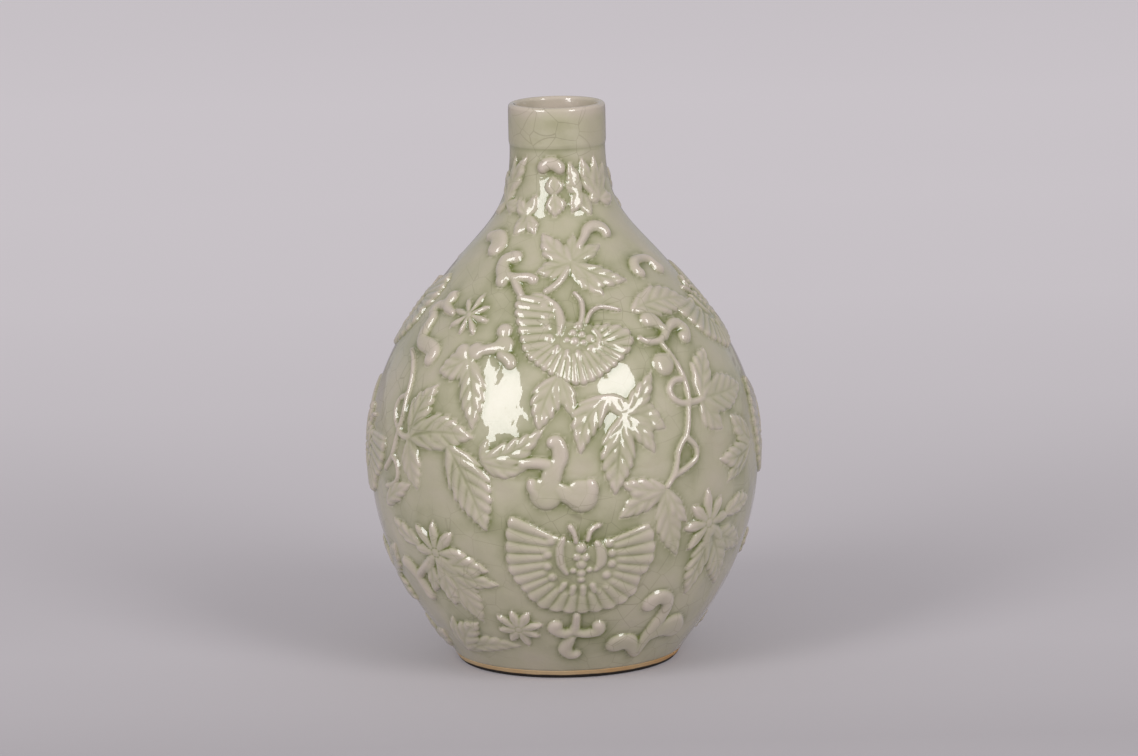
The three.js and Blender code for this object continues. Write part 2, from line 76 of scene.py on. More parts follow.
# From degrees round and millimetres up the wall, and a height over it, to a place in metres
def placeOnWall(azimuth, along, rise):
    radius, height, out, up = (np.interp(along, wallAlong, line)
                               for line in (wallRadius, wallHeight, wallOut, wallUp))
    angle = np.radians(azimuth)
    reach = radius + out * rise
    return np.stack([reach * np.sin(angle), -reach * np.cos(angle), height + up * rise], axis=-1) * mm


# Each part of a sprig gives its height over the wall at arrays of places, and how far it reaches
def part(heightAt, places, margin):
    return {"heightAt": heightAt, "places": np.array(places, float), "margin": margin}


# The window of the wall that holds a part: its lowest and highest degrees and millimetres
def windowOf(piece):
    low, high = piece["places"].min(axis=0), piece["places"].max(axis=0)
    aside = math.degrees(piece["margin"] / radiusAt(high[1] + piece["margin"])) + 1
    return low - (aside, piece["margin"]), high + (aside, piece["margin"])


def onSheet(centre, azimuth, along):
    return np.radians(azimuth - centre[0]) * radiusAt(along), along - centre[1]


# The height of a rounded pad from the distance inside its edge
def padHeight(inside, rounding, rise):
    share = np.clip(inside / rounding, 0, 1)
    return np.where(inside > 0, rise * np.sqrt(1 - (1 - share) ** 2), np.maximum(0.9 * inside, -1.5))


def smooth(value, low, high):
    share = np.clip((value - low) / (high - low), 0, 1)
    return share * share * (3 - 2 * share)


# A smooth line through points, and its place along the points as a share
def smoothLine(points, perSpan=14):
    points = np.array(points, float)
    padded = np.vstack([2 * points[0] - points[1], points, 2 * points[-1] - points[-2]])
    line = []
    for before, start, end, after in zip(padded, padded[1:], padded[2:], padded[3:]):
        corners = [start, start + (end - before) / 6, end - (after - start) / 6, end]
        line += interpolate_bezier(*[Vector((*corner, 0)) for corner in corners], perSpan + 1)[:-1]
    line = np.array([point[:2] for point in line] + [points[-1]])
    return line, np.linspace(0, 1, len(line))


# The height of a smooth band along a line, from a half width at each place on it
def bandHeight(x, y, line, halves, rounding, rise, crown=0):
    run = np.concatenate([[0], np.cumsum(np.hypot(*np.diff(line, axis=0).T))])
    halves = np.minimum(halves, np.minimum(run, run[-1] - run) + 0.3 * halves)
    away = np.hypot(x[..., None] - line[:, 0], y[..., None] - line[:, 1])
    inside = halves - away
    best = np.argmax(inside, axis=-1)
    inside = np.max(inside, axis=-1)
    half = halves[best]
    dome = crown * np.clip(inside / np.maximum(half, 0.5), 0, 1)
    return padHeight(inside, np.minimum(rounding, np.maximum(half, 0.4)), rise) + dome


scrollShape = {"rise": 1.65, "rounding": 2.4, "crown": 0.3}
vineShape = {"rise": 1.5, "rounding": 1.6, "crown": 0}


def stroke(places, radii, shape=scrollShape):
    centre = np.mean(places, axis=0)
    knots = np.array(places, float)
    line, shares = smoothLine(np.stack(onSheet(centre, knots[:, 0], knots[:, 1]), axis=-1))
    halves = np.interp(shares, np.linspace(0, 1, len(radii)), radii)

    def heightAt(azimuth, along):
        x, y = onSheet(centre, azimuth, along)
        return bandHeight(x, y, line, halves, shape["rounding"], shape["rise"], shape["crown"])
    return part(heightAt, places, max(radii) + 2)


def vine(places, half):
    return stroke(places, [half, half], vineShape)


# Leaves swell between their side veins, which are soft grooves that bend towards the tip
leafShape = {"rise": 1.6, "rounding": 2.1, "shares": (0, 0.05, 0.16, 0.34, 0.52, 0.7, 0.86, 1),
             "fullness": (0.2, 0.38, 0.68, 0.98, 1.02, 0.78, 0.4, 0), "broad": 9, "lobe": 6.6,
             "fewestLobes": 2.5, "slant": 0.95, "stagger": 0.22, "notch": 0.2, "vein": 0.42,
             "midrib": 0.36, "midribHalf": 0.8, "step": 0.17}


# From its root to its tip, bowed sideways, and lower where its layer lies under others
def leaf(root, tip, width, bow=0, layer=0):
    centre = ((root[0] + tip[0]) / 2, (root[1] + tip[1]) / 2)
    ends = [np.array(onSheet(centre, *place)) for place in (root, tip)]
    length = math.dist(*ends)
    way = (ends[1] - ends[0]) / length
    lobes = max(leafShape["fewestLobes"], length / leafShape["lobe"])
    small = min(1, width / leafShape["broad"])

    def heightAt(azimuth, along):
        x, y = onSheet(centre, azimuth, along)
        x, y = x - ends[0][0], y - ends[0][1]
        share = (x * way[0] + y * way[1]) / length
        aside = y * way[0] - x * way[1] - 4 * bow * share * (1 - share)
        bend = leafShape["slant"] * np.abs(aside) / length * (1 + np.abs(aside) / width)
        phase = lobes * (share - 0.1 - bend) + leafShape["stagger"] * np.sign(aside)
        swell = np.abs(np.sin(math.pi * phase)) ** 0.8
        half = width / 2 * np.interp(share, leafShape["shares"], leafShape["fullness"])
        half = half * (1 - leafShape["notch"] * (1 - swell) * smooth(share, 0.15, 0.35))
        beyond = np.maximum(0, np.maximum(-share, share - 1)) * length
        inside = half - np.abs(aside) - 2 * beyond
        nearVein = (1 - swell) * smooth(np.abs(aside), 0.2, 1.8) * (1 - 0.6 * smooth(share, 0.75, 1))
        nearMidrib = np.exp(-(aside / (leafShape["midribHalf"] * small)) ** 2)
        nearMidrib = nearMidrib * (1 - smooth(share, 0.8, 1))
        top = 1 - leafShape["vein"] * small * nearVein - leafShape["midrib"] * small * nearMidrib
        rounding = min(leafShape["rounding"], 0.42 * width)
        rise = leafShape["rise"] * (0.85 + 0.15 * small) * (1 - leafShape["step"] * layer)
        return padHeight(inside, rounding, rise * top)
    return part(heightAt, (root, tip), width / 2 + abs(bow) + 2)


# Leaves from one root, each with its tip, its width and its bow
def spray(root, leaves):
    return [leaf(root, *blade, layer=number % 3) for number, blade in enumerate(leaves)]


# A flower of pointed, rounded petals about a small button, with the first petal turned in degrees
flowerShape = {"rise": 1.75, "shares": (0, 0.25, 0.55, 0.75, 0.9, 1),
               "fullness": (0.2, 0.62, 1.05, 0.86, 0.45, 0), "uneven": 0.09, "crease": 0.25,
               "creaseHalf": 0.45, "button": 0.15, "buttonRise": 1.7, "moat": 0.5, "moatDepth": 0.6}


def flower(place, petals, length, width, turn):
    def heightAt(azimuth, along):
        x, y = onSheet(place, azimuth, along)
        reach = np.hypot(x, y)
        step = 2 * math.pi / petals
        number = np.round((np.arctan2(y, x) - math.radians(turn)) / step)
        angle = np.arctan2(y, x) - math.radians(turn) - number * step
        own = 1 + flowerShape["uneven"] * np.sin(2.4 * number + place[0])
        share = reach * np.cos(angle) / (length * own)
        aside = reach * np.sin(angle)
        half = width / 2 * np.interp(share, flowerShape["shares"], flowerShape["fullness"])
        inside = half - np.abs(aside) - 2 * length * np.maximum(0, share - 1)
        fold = np.exp(-(aside / flowerShape["creaseHalf"]) ** 2) * smooth(share, 0.3, 0.5)
        rise = flowerShape["rise"] * (1 - flowerShape["crease"] * fold)
        petal = padHeight(inside, np.maximum(half, 0.6), rise)
        middle = flowerShape["button"] * length - reach
        nearMoat = np.clip(1 - np.abs(middle) / flowerShape["moat"], 0, 1)
        button = padHeight(middle, flowerShape["button"] * length, flowerShape["buttonRise"])
        return np.maximum(petal - flowerShape["moatDepth"] * nearMoat, button)
    return part(heightAt, [place], length * 1.1 + 2)


bossShape = {"rise": 1.8, "rounding": 0.7}


def boss(place, radius):
    def heightAt(azimuth, along):
        x, y = onSheet(place, azimuth, along)
        return padHeight(radius - np.hypot(x, y), radius * bossShape["rounding"], bossShape["rise"])
    return part(heightAt, [place], radius + 2)


# A butterfly in its own millimetres, head up: its outline, three fans of ribs, each from its own centre
# with a step and a shift, and spots, half moons, feelers and a body laid on it
spreadWings = {
    "outline": [(-3, 9), (-13.3, 13.6), (-21, 18), (-28.4, 21), (-31, 17.5), (-31.6, 11), (-31.6, 4),
                (-31, -2), (-28.6, -7.5), (-25.4, -12), (-21.2, -17.8), (-15.7, -22.8), (-7, -25),
                (0, -25.6), (7, -25.2), (14.2, -23.6), (20, -20.4), (24.4, -15.4), (25.6, -9.8),
                (30, -4.6), (32.2, 2), (31.8, 9.5), (29.6, 15), (20, 12.6), (8.4, 8.6), (0, 6)],
    "fans": [(8, 4.5, 8.3, 0), (0.5, 1, 13.0, 0.5), (-6.5, 3, 8.8, 0.2)], "ribsFrom": 15.5,
    "spots": [(-12.6, 10.4), (-14, 4.2), (-14, -1.2), (-11.9, -6.4),
              (11.7, 8.4), (12.8, 4), (12.8, -1), (10.6, -6.2)],
    "bands": [
        ([(-7.2, 12), (-8.8, 6.5), (-8.4, 0), (-5.6, -5.4)], [1.2, 2, 2, 1]),
        ([(6.2, 9.6), (8.4, 5), (8.2, 0), (5.6, -4)], [1.2, 2.6, 2.4, 1]),
        ([(-6.4, -9), (-9, -13.5)], [1.7, 1.5]), ([(-3, -10.5), (-4, -15.5)], [1.7, 1.5]),
        ([(0.8, -10.6), (0.9, -16)], [1.7, 1.5]), ([(4.4, -9.8), (6, -14.6)], [1.7, 1.5]),
        ([(-2, 9), (-2.8, 13), (-4.9, 17.2)], [1.2, 1.3, 1.6]),
        ([(2.6, 9.6), (4.2, 14.6), (8.2, 17)], [1.1, 1.2, 1.4])],
    "beads": [(0, 6.8, 2.6), (-1.7, 2.8, 2), (1.8, 2.6, 2), (0, -0.6, 2.6), (0, -4.6, 2.2),
              (-3.3, -3.4, 1.6), (3.3, -3.2, 1.6), (0, -7.8, 1.8)]}
raisedWings = {
    "outline": [(-3.1, 10.5), (-7.7, 16.4), (-11.4, 18.6), (-16.8, 18.4), (-21.8, 17.4), (-23.5, 10.5),
                (-22.6, 2.5), (-21.8, -3.5), (-19.8, -10.5), (-12.5, -17), (-5.2, -21.7), (0.6, -23.4),
                (6.2, -22.6), (14.5, -18.4), (20.8, -13.5), (25.4, -8.8), (26.5, -4.5), (23.9, 0.2),
                (16.7, 3), (8.3, 3.2), (3.6, 5), (-1.2, 5)],
    "fans": [(36, 4, 4, 0.3), (0, 0, 9.5, 0.5), (3.6, -8, 12.5, 0)], "ribsFrom": 10.5,
    "spots": [(-10.7, 12.5), (-10.3, 7.5), (-10.3, 2.5), (-9.4, -2.6), (7.4, -3.4), (7.7, -8)],
    "bands": [
        ([(-10.4, 17), (-6, 12.5), (-4.3, 5.5), (-5.3, -1.5)], [1.2, 2, 2.2, 1.1]),
        ([(8.9, 1), (11.3, -3), (10.3, -8)], [1, 1.7, 1]),
        ([(-6, -6), (-7.9, -10)], [1.4, 1.2]),
        ([(-2.2, -8), (-3.1, -12)], [1.4, 1.2]),
        ([(1.9, -8.4), (2.3, -12.6)], [1.4, 1.2]),
        ([(3.6, 3), (5, 8.5), (4.9, 14.5), (2, 19.4)], [1.2, 1.3, 1.2, 0.9]),
        ([(6, 3.6), (8.9, 9.4), (13.6, 11.2), (21.8, 9)], [1.1, 1.2, 1.2, 0.9])],
    "beads": [(2.9, 2.6, 2.2), (0.5, -0.4, 1.8), (4.1, -1.4, 1.7), (1, -4.2, 2.1), (-2.2, -3.6, 1.4),
              (4.6, -5, 1.4)]}
butterflyShape = {"leftUntil": 119, "rightFrom": 249, "scallop": 0.9, "plate": 0.75, "ribRise": 0.85,
                  "rounding": 1.6, "spotRadius": 2.2, "spotRounding": 1.7, "spotRise": 1.8,
                  "bandRise": 1.9, "beadRise": 2.1, "reach": 36}


# The distance inside a closed outline, less than nothing outside it
def insideOutline(x, y, outline):
    nearest = np.full(x.shape, 1e9)
    within = np.zeros(x.shape, bool)
    for (startX, startY), (endX, endY) in zip(outline, outline[1:] + outline[:1]):
        runX, runY = endX - startX, endY - startY
        share = np.clip(((x - startX) * runX + (y - startY) * runY) / (runX ** 2 + runY ** 2), 0, 1)
        nearest = np.minimum(nearest, np.hypot(x - startX - share * runX, y - startY - share * runY))
        crosses = (startY > y) != (endY > y)
        within ^= crosses & (x < startX + runX * (y - startY) / (runY or 1))
    return np.where(within, nearest, -nearest)


# Turned in degrees, and a share of the full size
def butterfly(place, turn, size, wings=spreadWings):
    shape = butterflyShape
    way = math.radians(turn)
    outline = [tuple(point) for point in smoothLine(wings["outline"], 3)[0]]

    def heightAt(azimuth, along):
        x, y = onSheet(place, azimuth, along)
        x, y = ((x * math.cos(way) + y * math.sin(way)) / size,
                (y * math.cos(way) - x * math.sin(way)) / size)
        angle = np.degrees(np.arctan2(-x, y)) % 360
        fan = (angle > shape["leftUntil"]).astype(int) + (angle > shape["rightFrom"])
        middleX, middleY, step, shift = np.moveaxis(np.array(wings["fans"])[fan], -1, 0)
        turned = np.degrees(np.arctan2(y - middleY, np.where(fan == 0, middleX - x, x - middleX)))
        turned = np.where(fan == 1, angle, turned)
        rib = np.abs(np.sin(math.pi * (turned / step + shift))) ** 0.75
        inside = insideOutline(x, y, outline) + shape["scallop"] * (rib - 0.6)
        outer = smooth(np.hypot(x, y), wings["ribsFrom"] - 2, wings["ribsFrom"] + 1.5)
        height = padHeight(inside, shape["rounding"], shape["plate"] + shape["ribRise"] * rib * outer)
        for across, up in wings["spots"]:
            within = shape["spotRadius"] - np.hypot(x - across, y - up)
            height = np.maximum(height, padHeight(within, shape["spotRounding"], shape["spotRise"]))
        for points, radii in wings["bands"]:
            line, shares = smoothLine(points, 8)
            halves = np.interp(shares, np.linspace(0, 1, len(radii)), radii)
            band = bandHeight(x, y, line, halves, shape["rounding"], shape["bandRise"])
            height = np.maximum(height, band)
        for across, up, radius in wings["beads"]:
            within = radius - np.hypot(x - across, y - up)
            height = np.maximum(height, padHeight(within, radius, shape["beadRise"]))
        return height * (0.6 + 0.4 * size)
    return part(heightAt, [place], shape["reach"] * size + 2)


# The ornament, which fills half the wall and is repeated on the other half. Places are degrees round and
# millimetres up, and strokes and vines give their half widths.
ornament = {
    "butterfly_low": [butterfly([4.5, 66], 0, 1)],
    "butterfly_high": [butterfly([4, 165.5], 0, 1, raisedWings)],
    "leaf_veined": spray([32, 173.8], [[[69, 172], 15.5, 3.5]]),
    "butterfly_right": [butterfly([83, 168], 24, 0.8)],
    "butterfly_left": [butterfly([-85, 108], -18, 0.85)],
    "scroll_middle": [
        stroke([[-4.6, 117.6], [-2, 118], [-1, 113], [-2, 108.5], [-3.6, 104], [-4.8, 96]],
               [2.4, 3.3, 3.6, 3.2, 4.4, 4]),
        boss([-5.4, 96.8], 7.2), boss([4.8, 95.4], 7.1),
        stroke([[-9.4, 102.8], [-9, 99], [-6, 94]], [2, 2.8, 2.8]),
        stroke([[-3, 100], [1, 96], [5, 94], [7.6, 98], [7, 102]], [2.6, 4, 4, 3.4, 2.4]),
        stroke([[-3.5, 108.6], [-8, 109.6], [-13, 109]], [2.6, 2.6, 2.2]),
        *spray([-25, 110.5], [[[-5.5, 124.5], 11, -3.5], [[-10.5, 107], 10, -1.5], [[-22.5, 119.5], 5]])],
    "scroll_foot": [
        stroke([[3.3, 40.5], [3, 34], [2, 29.5]], [1.8, 2, 2.6]),
        stroke([[-3.2, 35], [-4.8, 31.6], [-1.6, 28.6], [2.2, 30], [6, 28.2], [11.4, 29.6], [11, 34.4]],
               [3, 3.3, 2.7, 2.2, 2.5, 3.2, 2.8]),
        stroke([[2.3, 27.5], [0.2, 23.5], [-1.2, 18.5], [1.2, 15.4], [4.8, 16.2]],
               [1.5, 2.7, 3.2, 3, 2.4])],
    "scroll_foot_right": [
        stroke([[30.2, 38.8], [30, 42.6], [33.5, 44.6], [37.2, 42], [37.4, 36], [35.4, 29],
                [33, 21], [31, 11]],
               [3.4, 4.2, 3.8, 3.3, 3.3, 3.4, 3.4, 2.6]),
        stroke([[18.4, 17.6], [20.6, 20.6], [25, 20.8], [28.6, 16.8], [31, 12.4]],
               [4, 5.2, 4.6, 3.2, 2.6]),
        stroke([[34, 22], [39, 26], [45, 26.4], [50.5, 22]], [3, 5, 6.4, 4.6])],
    "flower_foot": [flower([-18.3, 31.5], 8, 10.5, 4.3, 12)],
    "leaves_foot": spray([-52, 13], [[[-35, 32.5], 13, 2.5], [[-47.5, 34], 9, 1], [[-18.5, 20], 10, 3]]),
    "flower_left": [
        flower([-43, 67.5], 8, 14.5, 5.4, 0),
        *spray([-42, 61.5], [[[-24.5, 60.5], 11, 1.5], [[-21.5, 54], 10, -1.5], [[-32.5, 32.5], 16, 2],
                             [[-42.5, 40], 11]]),
        *spray([-50, 69.5], [[[-63, 79], 9, 1]]), *spray([-47, 62], [[[-51, 45.5], 9, 1]]),
        *spray([-66, 84], [[[-50.5, 96], 9, 1]]), boss([-41.7, 62.9], 2.8),
        stroke([[-64, 58], [-60, 57], [-56.5, 52], [-54.5, 46], [-54, 42]], [3, 4, 3, 3.4, 3.6]),
        stroke([[-57, 52], [-53.5, 56], [-48, 61.5]], [2.4, 2.2, 2.2])],
    "vine_left": [
        vine([[-66, 152], [-61, 148], [-57.5, 140], [-56.8, 130], [-57, 122], [-58.5, 114], [-60.5, 106],
              [-65, 99]], 1.5),
        vine([[-57, 133], [-60.6, 130.5], [-61.6, 125.5], [-60, 120.5], [-57.6, 118]], 1.3),
        vine([[-60.5, 107], [-57.3, 102.5], [-57.3, 97], [-60.5, 93.5], [-65, 92]], 1.4),
        vine([[-58, 118], [-55, 115.5], [-51, 116.5]], 1.6),
        *spray([-51.5, 116], [[[-43.5, 140], 14, 2], [[-27, 119], 16, 2.5], [[-47.5, 93.5], 13, -1.5]]),
        *spray([-35.5, 114.5], [[[-23.6, 79], 20, 2.5], [[-46, 117], 7]])],
    "leaves_centre": [
        *spray([18.5, 128], [[[14.5, 94.5], 15.5, -1], [[27.5, 110.5], 9, 1.5], [[32, 120.5], 13, 2.5],
                             [[31, 146], 9, -1.5], [[16, 138], 9]]),
        *spray([16.5, 137], [[[4.8, 112], 13.5, -5.5], [[18, 127], 8]]),
        *spray([-1, 146.5], [[[-7.5, 122.5], 13.5, -1.5], [[3, 128], 8, 0.5]])],
    "vine_right": [
        stroke([[34.6, 168.2], [38.4, 168.4], [41.5, 165], [42, 161.3], [38.3, 158.3], [33, 158.6],
                [29.8, 161]],
               [3.4, 3.9, 2.4, 1.8, 1.7, 1.5, 1.2]),
        stroke([[40.5, 158.6], [45.5, 163.4], [50.4, 164.6], [53.2, 161], [51.6, 157.8], [48.8, 158.6]],
               [1.7, 2.2, 2.9, 3.1, 3.1, 2.6]),
        vine([[38, 158.3], [41, 150], [42.6, 142], [42.5, 133], [41.2, 127], [39.8, 120],
              [38.2, 115]], 1.5),
        vine([[42, 140.2], [38.4, 140], [35.8, 136.8], [36.4, 133], [39.4, 130.2], [44, 129.8],
              [49, 130.5]], 1.5),
        vine([[38.2, 116], [35.4, 111], [34.4, 105.5], [33, 100.5], [30.4, 95.5]], 1.4),
        vine([[38.6, 116], [41.6, 111.5], [41.6, 106.8], [38.5, 103.6], [32.5, 100]], 1.5),
        boss([36.3, 147.8], 5.3),
        vine([[37, 150], [40, 151.5]], 1.5),
        *spray([47.4, 130.5], [[[59, 151.5], 13, 1.5], [[73, 131], 17], [[55, 115.5], 13, -1.5]])],
    "leaves_right_low": spray([30.4, 95.5], [[[16, 100.5], 10, 1.5], [[15.5, 84.5], 11, -1.5],
                                             [[36.5, 64], 13, -2], [[38.8, 79], 8, -1]]),
    "flower_right": [
        flower([47, 77.5], 8, 14, 5.4, 5),
        *spray([48.8, 71.5], [[[44.5, 43], 12.5, -1.5], [[62, 43.5], 14, 1.5], [[72, 60], 12, 1]]),
        *spray([55, 79.5], [[[71, 82], 10, 1]]), boss([48.6, 73.1], 2.8)],
    "leaves_right_edge": [
        *spray([71, 106], [[[51.2, 103.6], 12, 2], [[60, 121], 12, 1], [[55, 92.5], 11, -1]]),
        *spray([99, 50], [[[87, 64], 13, 1.5], [[113, 66], 12, -1.5], [[90, 32], 14, 1],
                          [[110, 36], 13, -1]]),
        *spray([101, 12], [[[87, 24], 11, 1.5], [[116, 22], 11, -1.5], [[102, 28], 9]])],
    "leaves_shoulder": [
        *spray([6.5, 199], [[[-14, 214.5], 11, 1.5], [[-14, 194.5], 10.5, 0.5], [[30.6, 207.6], 8, 0.5],
                            [[37, 188.6], 11, -2.5], [[21.5, 182], 8.5, -1], [[11, 214], 7]]),
        vine([[5, 197], [1, 191.5], [-3, 188], [-8, 184.8]], 1.6),
        stroke([[12, 206], [18.5, 211.4], [23, 215], [30, 216.5], [37, 215], [39.6, 211]],
               [1.4, 1.8, 2.4, 2.9, 3, 2.7])],
    "scroll_shoulder_left": [
        stroke([[-25.5, 201.4], [-29, 201.8], [-34.6, 200], [-34.6, 196], [-31.6, 192], [-31.6, 187.6]],
               [2.8, 3.4, 3.3, 3.4, 3.6, 3.5]),
        stroke([[-32, 192.4], [-25, 191.6], [-17, 192], [-12.6, 190]], [3, 2.5, 2.4, 2.5]),
        stroke([[-25, 191], [-21.4, 186.5], [-18, 182]], [2.2, 2, 1.5])],
    "scroll_side_high": [
        stroke([[-50.5, 202.8], [-46.8, 206.2], [-50.5, 210], [-57, 210.6], [-64, 209.4]],
               [4, 4.6, 4.2, 3.2, 2.2])],
    "scroll_side": [
        stroke([[-57, 181], [-58.5, 176.5], [-56.5, 173.4], [-50, 171.4]], [4.2, 3.2, 2.6, 1.6]),
        stroke([[-61.5, 168], [-65.5, 170], [-63.5, 174], [-57, 174.4]], [2.6, 3, 2.6, 2.4]),
        stroke([[-62, 169.5], [-63, 161.5], [-61, 156.4], [-56, 155.2], [-51.4, 153], [-52.6, 147.6]],
               [2.4, 3.6, 3.6, 3.8, 3.8, 3])],
    "star_left": [flower([-41, 171.8], 8, 10.5, 3, -10)],
    "scroll_right": [
        stroke([[49.5, 189.8], [45.8, 192.3], [47.5, 196.2], [54, 197.4], [61, 196], [64, 191.5],
                [68, 189.5]], [2.4, 3, 2.5, 2.2, 2.3, 3, 2.6])],
    "leaves_left_high": [
        boss([-37.5, 155], 4), boss([-32, 156], 4.2),
        *spray([-34, 152.5], [[[-45.5, 145], 13, 1], [[-28, 121.5], 13, 1.5]]),
        boss([-22.6, 166], 3.7), boss([-21.6, 159.5], 4.5),
        stroke([[-32, 156], [-27, 157.4], [-22, 159]], [2.4, 2.6, 3]),
        stroke([[-23, 155.6], [-18.8, 153], [-17.4, 149.6]], [2.2, 3, 2.4])],
    "neck_scroll": [stroke([[-20, 241], [-16, 243.6], [-7, 244.6], [1, 243], [3.6, 240.6]],
                           [2.2, 2.8, 3, 2.8, 2])],
    "neck_leaves_left": spray([-64, 226], [[[-38, 247.5], 8, 1.5], [[-60, 247.5], 7], [[-38, 227], 7, -1],
                                           [[-86, 240], 8, -1], [[-82, 220], 6]]),
    "neck_leaves": [
        *spray([-5, 231], [[[-3.5, 221.5], 9.5, 0.5], [[-6.5, 239.5], 9, -0.5]]),
        *spray([25, 232], [[[13, 245.5], 6.5, 0.5], [[7, 236], 6], [[32, 221], 7.5, -0.5],
                           [[12, 223], 6.5]]),
        *spray([-29, 222], [[[-47, 229], 7, 0.5], [[-24, 232], 6], [[-38, 212], 7.5],
                            [[-19, 213], 6.5]])],
    "neck_leaves_right": spray([46, 228], [[[29, 247], 8, 1], [[48, 247.5], 7], [[68, 244], 8],
                                           [[72, 228], 7], [[31, 228.5], 6, -1]]),
}

# The relief as one chart of half the wall, and the glaze that levels it: deep in hollows, thin on tops
chart = {"step": 0.4, "row": 0.5, "top": 268, "collarProud": 0.5, "spread": 2.6, "edge": 0.8,
         "edging": 0.7}


def chartRelief():
    columns = round(180 / chart["step"])
    rows = round(chart["top"] / chart["row"]) + 1
    relief = np.zeros((rows, columns))
    along = np.arange(rows) * chart["row"]
    relief[along > wall["drawn"]] = chart["collarProud"]
    for piece in sum(ornament.values(), []):
        low, high = windowOf(piece)
        across = np.arange(math.floor(low[0] / chart["step"]), math.ceil(high[0] / chart["step"]))
        up = np.arange(max(0, math.floor(low[1] / chart["row"])),
                       min(rows, math.ceil(high[1] / chart["row"])))
        azimuth, height = np.meshgrid(across * chart["step"], up * chart["row"])
        patch = np.ix_(up, across % columns)
        relief[patch] = np.maximum(relief[patch], piece["heightAt"](azimuth, height))
    return relief


# Spreads a chart by the same distance in all directions on the wall
def spreadChart(values, distance):
    along = np.arange(len(values)) * chart["row"]
    waves = np.fft.rfftfreq(values.shape[1])
    cells = np.degrees(distance / radiusAt(along)) / chart["step"]
    fall = np.exp(-2 * (math.pi * waves[None, :] * cells[:, None]) ** 2)
    spread = np.fft.irfft(np.fft.rfft(values, axis=1) * fall, values.shape[1], axis=1)
    reach = math.ceil(4 * distance / chart["row"])
    kernel = np.exp(-(np.arange(-reach, reach + 1) * chart["row"] / distance) ** 2 / 2)
    padded = np.pad(spread, ((reach, reach), (0, 0)), mode="edge")
    rows = np.lib.stride_tricks.sliding_window_view(padded, len(kernel), axis=0)
    return rows @ (kernel / kernel.sum())


relief = chartRelief()
hollows = (spreadChart(relief, chart["spread"]) - relief
           + chart["edging"] * (spreadChart(relief, chart["edge"]) - relief))
print("relief charted")


def readChart(values, azimuth, along):
    column, row = azimuth / chart["step"], np.clip(along / chart["row"], 0, len(values) - 1.001)
    left, low = np.floor(column).astype(int), np.floor(row).astype(int)
    across, up = column - left, row - low
    wide = values.shape[1]
    lower = values[low, left % wide] * (1 - across) + values[low, (left + 1) % wide] * across
    upper = values[low + 1, left % wide] * (1 - across) + values[low + 1, (left + 1) % wide] * across
    return lower * (1 - up) + upper * up


def addPiece(name, mesh, material, nodes, pool=None):
    mesh.materials.append(material)
    for face in mesh.polygons:
        face.use_smooth = True
    if pool is not None:
        mesh.attributes.new("pool", "FLOAT", "POINT").data.foreach_set("value", pool)
    piece = bpy.data.objects.new(name, mesh)
    scene.collection.objects.link(piece)
    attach(piece, "root")
    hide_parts(*nodes)


def meshFrom(shape, name):
    mesh = bpy.data.meshes.new(name)
    shape.to_mesh(mesh)
    shape.free()
    return mesh


def verticesOf(mesh):
    places = np.empty(len(mesh.vertices) * 3)
    mesh.vertices.foreach_get("co", places)
    return places.reshape(-1, 3)


# sRGB values from 0 to 255 as the linear colour that a material takes
def shade(red, green, blue):
    share = np.array([red, green, blue]) / 255
    return (*np.where(share > 0.04045, ((share + 0.055) / 1.055) ** 2.4, share / 12.92), 1)


# A material with its shader, and a way to set or link the inputs of a node and to add one
def newMaterial(name):
    material = bpy.data.materials.new(name)
    material.use_nodes = True
    nodes, links = material.node_tree.nodes, material.node_tree.links

    def feed(node, inputs):
        for key, value in inputs.items():
            if isinstance(value, bpy.types.NodeSocket):
                links.new(value, node.inputs[key])
            else:
                node.inputs[key].default_value = value
        return node

    def add(kind, inputs, **settings):
        node = nodes.new("ShaderNode" + kind)
        for key, value in settings.items():
            setattr(node, key, value)
        return feed(node, inputs)
    return material, nodes["Principled BSDF"], feed, add


# The celadon: olive where it lies deep, pale and pinkish where it is thin, finely crackled, and glossy
glaze = {"thin": (184, 172, 158), "ground": (165, 160, 134), "deep": (92, 100, 34),
         "pools": (-1.1, 0.1, 1.25), "inside": -0.9, "mottle": 2, "mottleScale": 45,
         "crackle": (96, 92, 62), "crackleScale": 105, "crackleWidth": 0.02, "crackleShade": 0.45,
         "crackledScale": 22, "crackledFrom": 0.42, "crackledTo": 0.62, "rippleScale": 130,
         "rippleDepth": 0.0002, "swellScale": 62, "swellDepth": 0.0014, "roughness": 0.36,
         "specular": 0.25, "coatRoughness": 0.03, "coatIor": 1.6}


